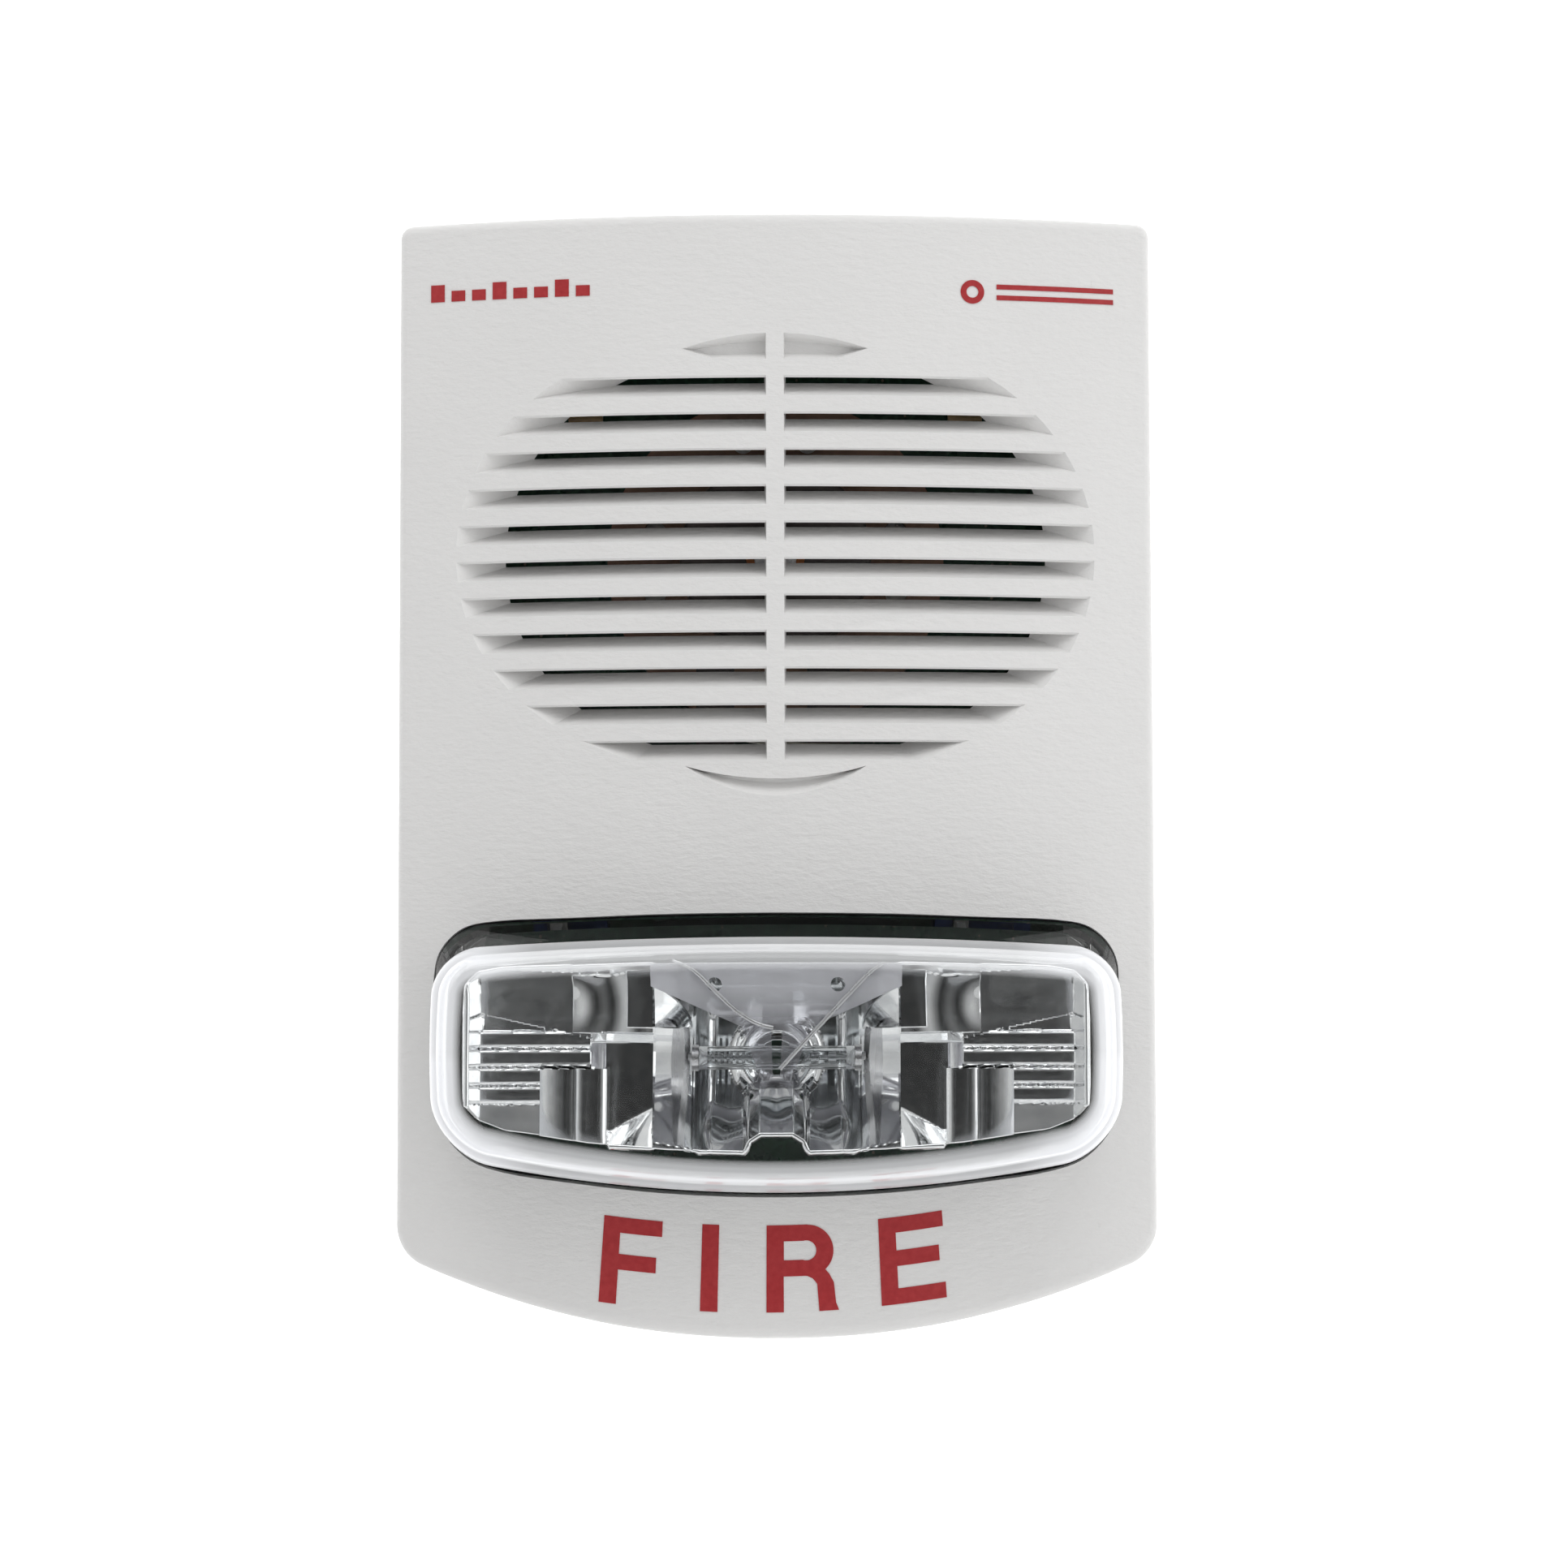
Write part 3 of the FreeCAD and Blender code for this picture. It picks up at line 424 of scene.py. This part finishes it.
def reflector_edges(u):
    """Upper and lower edge of the mirrored pan at each distance u from its middle."""
    top = np.interp(u, [0, 23.4, 49.0, 53.2, 55.4], [-34.2, -34.2, -34.9, -36.0, -38.6])
    low = np.interp(u, [0, 3.0, 5.2, 6.0, 19.5, 33.5, 43.0, 49.0, 53.6, 55.4],
                    [-65.6, -65.6, -67.0, -68.8, -68.4, -67.2, -65.8, -65.0, -63.2, -60.6])
    return top, low


def wing_depth(u, z, top):
    """Ribbed outer wing: nearly flat upper panel, slanted crease, four ribs, lower panel."""
    crease = -43.9 - 0.217 * (55.4 - u)
    across = np.mod(z + 60.4, 3.3) / 1.65 - 1.0
    ribs = 4.0 + 0.9 * across ** 8
    lower = 4.5 - 0.17 * (-60.4 - z) + 0.004 * (55.0 - u) ** 2
    upper = 4.2 - 0.05 * (z - crease) + 0.0022 * (52.0 - u) ** 2
    body = np.where(z > -47.2, 5.2 + 0.06 * (z + 47.2), np.where(z > -60.4, ribs, lower))
    body = np.where(z > crease, upper, body)
    lip = 0.5 + (top - z) * 4.0 / np.maximum(0.4, (50.0 - u) * 0.14)
    return np.minimum(np.minimum(body, lip), 0.4 + 2.6 * (55.2 - u))


def box_depth(u):
    """Front of the two-celled block that stands on each wing."""
    outer = (u - 39.6) / 3.1
    inner = (u - 33.45) / 3.05
    return np.where(u > 36.5, 0.7 + 0.35 * outer ** 2 + 0.30 * outer, 0.8 + 0.7 * inner ** 6)


def bowl_depth(u, z):
    """Trough behind the tube, deepest level with it, with a funnel round the middle hole."""
    trough = 14.4 - 0.050 * (z - LAMP_Z) ** 2 - 0.30 * np.clip(u - 11.8, 0, None)
    trough = trough + 0.25 * np.exp(-((u - 11.8) / 0.35) ** 2)
    radius = np.hypot(u, z - LAMP_Z)
    funnel = 14.4 - 1.3 * np.exp(-((radius - 6.4) / 1.3) ** 2)
    trough = np.where(u < 9.5, np.where(radius < 9.0, funnel, trough), trough)
    return np.where(radius < 4.4, 15.6, trough)


def reflector_depth(x, z):
    """Depth of the mirrored pan behind its front edge."""
    u = np.abs(x)
    top, low = reflector_edges(u)
    depth = wing_depth(u, z, top)

    square = 6.0 + 0.7 * np.clip(z + 49.4, 0, 2.0) + 0.9 * np.clip(31.0 - u, -3.0, 0)
    run = np.interp(u, [22.3, 33.0], [7.0, 0.5])
    square = np.minimum(square, 0.6 + (z - low) * 5.4 / run)
    depth = np.where((u < 33.6) & (z < -47.6), square, depth)

    swirl = 3.4 + 0.24 * np.cos(0.75 * np.hypot(u - 37.5, (z + 43.0) * 0.8)) + 0.05 * (u - 30.0)
    step = 0.6 + 1.05 * (top - z)
    depth = np.where((u < 37.0) & (z > -47.6), np.minimum(swirl, step), depth)
    depth = np.where((u < 27.0) & (z > -46.6), np.minimum(2.5 + 0.02 * (z + 42.0), step), depth)

    quad = 2.0 + 0.75 * (23.3 - u) + 0.55 * (-39.4 - z)
    bowl = bowl_depth(u, z)
    scallop = np.where(u > 11.8, 1.5 * np.sin(np.clip((u - 11.8) / 10.5, 0, 1) * math.pi), 0.0)
    ripple = 0.12 * np.sin(0.85 * u + 0.5 * z)
    lower_wall = 0.6 + 1.30 * (z - low) + scallop + ripple
    upper_wall = np.where(z > -46.7, quad, 99.0)
    bowl = np.minimum.reduce([bowl, lower_wall, upper_wall, step])
    depth = np.where(u < 22.3, np.maximum(bowl, 0.4), depth)

    box = (u > 30.4) & (u < 42.7) & (z < -53.9)
    return np.where(box, box_depth(u), depth)


def post_shape(x, z, y_front, y_back, start):
    """Waisted moulded post, as points and faces numbered from start."""
    rings = [(2.4, y_front), (2.4, y_front + 3.0), (2.0, y_front + 4.0),
             (2.0, y_back - 2.0), (2.4, y_back - 1.0), (2.4, y_back)]
    points = []
    faces = []
    for radius, y in rings:
        for i in range(POST_SIDES):
            angle = 2 * math.pi * i / POST_SIDES
            points.append((x + radius * math.cos(angle), y, z + radius * math.sin(angle)))
    for r in range(len(rings) - 1):
        for i in range(POST_SIDES):
            j = (i + 1) % POST_SIDES
            corner = start + r * POST_SIDES
            above = corner + POST_SIDES
            faces.append((corner + i, corner + j, above + j, above + i))
    return points, faces


def reflector_pan():
    low_corner, high_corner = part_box("reflector")
    front = low_corner.y / MM
    back = high_corner.y / MM
    half = high_corner.x / MM
    xs = np.linspace(-half, half, PAN_COLUMNS)
    top, low = reflector_edges(np.abs(xs))
    share = np.linspace(0.0, 1.0, PAN_ROWS)[:, None]
    grid_z = low + (top - low) * share
    grid_x = np.tile(xs, (PAN_ROWS, 1))
    depth = reflector_depth(grid_x, grid_z)
    bolt = np.hypot(grid_x, grid_z - LAMP_Z)
    leads = np.hypot(np.abs(grid_x) - LEAD_HOLE_X, grid_z - LAMP_Z)
    open_here = (bolt < MIDDLE_HOLE_R) | (leads < LEAD_HOLE_R)
    points = np.column_stack([grid_x.ravel(), front + depth.ravel(), grid_z.ravel()]).tolist()
    faces = []
    for r in range(PAN_ROWS - 1):
        for c in range(PAN_COLUMNS - 1):
            if open_here[r:r + 2, c:c + 2].any():
                continue
            a = r * PAN_COLUMNS + c
            faces.append((a, a + 1, a + PAN_COLUMNS + 1, a + PAN_COLUMNS))
    for side in (-1, 1):
        for z in POST_Z:
            more_points, more_faces = post_shape(side * POST_X, z, front + 5.6, back - 0.05, len(points))
            points += more_points
            faces += more_faces
    pan = mesh_object("reflector_pan", points, faces, 28.0)
    sheet = pan.modifiers.new("thickness", "SOLIDIFY")
    sheet.thickness = PAN_SHEET * MM
    sheet.offset = -1.0
    return pan


# ---------------------------------------------------------------- stage

def stage_room():
    """A pale floor and a pale wall well behind the object."""
    foot = [(-ROOM_HALF, WALL_Y, FLOOR_Z), (ROOM_HALF, WALL_Y, FLOOR_Z)]
    top = [(ROOM_HALF, WALL_Y, WALL_TOP_Z), (-ROOM_HALF, WALL_Y, WALL_TOP_Z)]
    wall = mesh_object("backdrop", foot + top, [(0, 1, 2, 3)])
    near = [(ROOM_HALF, -ROOM_HALF, FLOOR_Z), (-ROOM_HALF, -ROOM_HALF, FLOOR_Z)]
    floor = mesh_object("floor", foot + near, [(3, 2, 1, 0)])
    for piece, glow in ((wall, 0.85), (floor, 0.0)):
        look = Look(piece.name + "_white")
        look.set(Base_Color=(0.8, 0.8, 0.8, 1.0), Roughness=0.9, Emission_Strength=glow)
        look.surface.inputs["Emission Color"].default_value = (1.0, 1.0, 1.0, 1.0)
        piece.data.materials.append(look.material)


def stage_light():
    world = bpy.data.worlds.new("studio")
    bpy.context.scene.world = world
    world.use_nodes = True
    tree = world.node_tree
    sky = tree.nodes["Background"]
    place = tree.nodes.new("ShaderNodeTexCoord")
    split = tree.nodes.new("ShaderNodeSeparateXYZ")
    tree.links.new(place.outputs["Generated"], split.inputs["Vector"])
    span = tree.nodes.new("ShaderNodeMapRange")
    span.inputs["From Min"].default_value = -1.0
    span.inputs["From Max"].default_value = -0.70
    tree.links.new(split.outputs["Y"], span.inputs["Value"])
    ramp = tree.nodes.new("ShaderNodeValToRGB")
    stops = ((0.0, 0.03), (0.03, 0.08), (0.10, 0.18), (0.45, 0.60), (1.0, 0.78))
    while len(ramp.color_ramp.elements) < len(stops):
        ramp.color_ramp.elements.new(0.5)
    for element, (place_on_ramp, level) in zip(ramp.color_ramp.elements, stops):
        element.position = place_on_ramp
        element.color = (level, level, level, 1.0)
    tree.links.new(span.outputs["Result"], ramp.inputs["Fac"])
    tree.links.new(ramp.outputs["Color"], sky.inputs["Color"])
    sky.inputs["Strength"].default_value = 0.95
    add_lamp("top_softbox", (-0.05, -0.75, 1.15), 1.3, 0.8, 4.8)
    add_lamp("right_softbox", (1.2, -0.9, 0.2), 1.0, 1.2, 4.0)


def add_lamp(name, place, wide, tall, watts):
    lamp = bpy.data.lights.new(name, "AREA")
    lamp.shape = "RECTANGLE"
    lamp.size = wide
    lamp.size_y = tall
    lamp.energy = watts
    holder = bpy.data.objects.new(name, lamp)
    holder.location = place
    aim = Vector((0.0, -0.03, 0.0)) - Vector(place)
    holder.rotation_euler = aim.to_track_quat("-Z", "Y").to_euler()
    bpy.context.scene.collection.objects.link(holder)


def add_camera():
    camera = bpy.data.cameras.new("camera")
    camera.sensor_width = SENSOR_WIDTH
    camera.lens = CAMERA_LENS
    camera.clip_start = 0.01
    holder = bpy.data.objects.new("camera", camera)
    holder.location = CAMERA_PLACE
    holder.rotation_euler = (CAMERA_TILT, CAMERA_ROLL, 0.0)
    bpy.context.scene.collection.objects.link(holder)
    bpy.context.scene.camera = holder


# ---------------------------------------------------------------- put together

def main():
    bpy.context.scene.view_settings.view_transform = "Standard"
    add_camera()
    stage_room()
    stage_light()
    materials = make_materials()
    slots = {row["node"]: row["material_slot"] for row in frame["record"]["subparts"]}
    for node, piece in NODES.items():
        piece.data.materials.clear()
        piece.data.materials.append(materials[slots[node]])
    window = strobe_window()
    dress(window, materials["clear_window"], "front")
    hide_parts("lens")
    pan = reflector_pan()
    dress(pan, materials["mirror_chrome"], "base")
    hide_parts("reflector")


main()
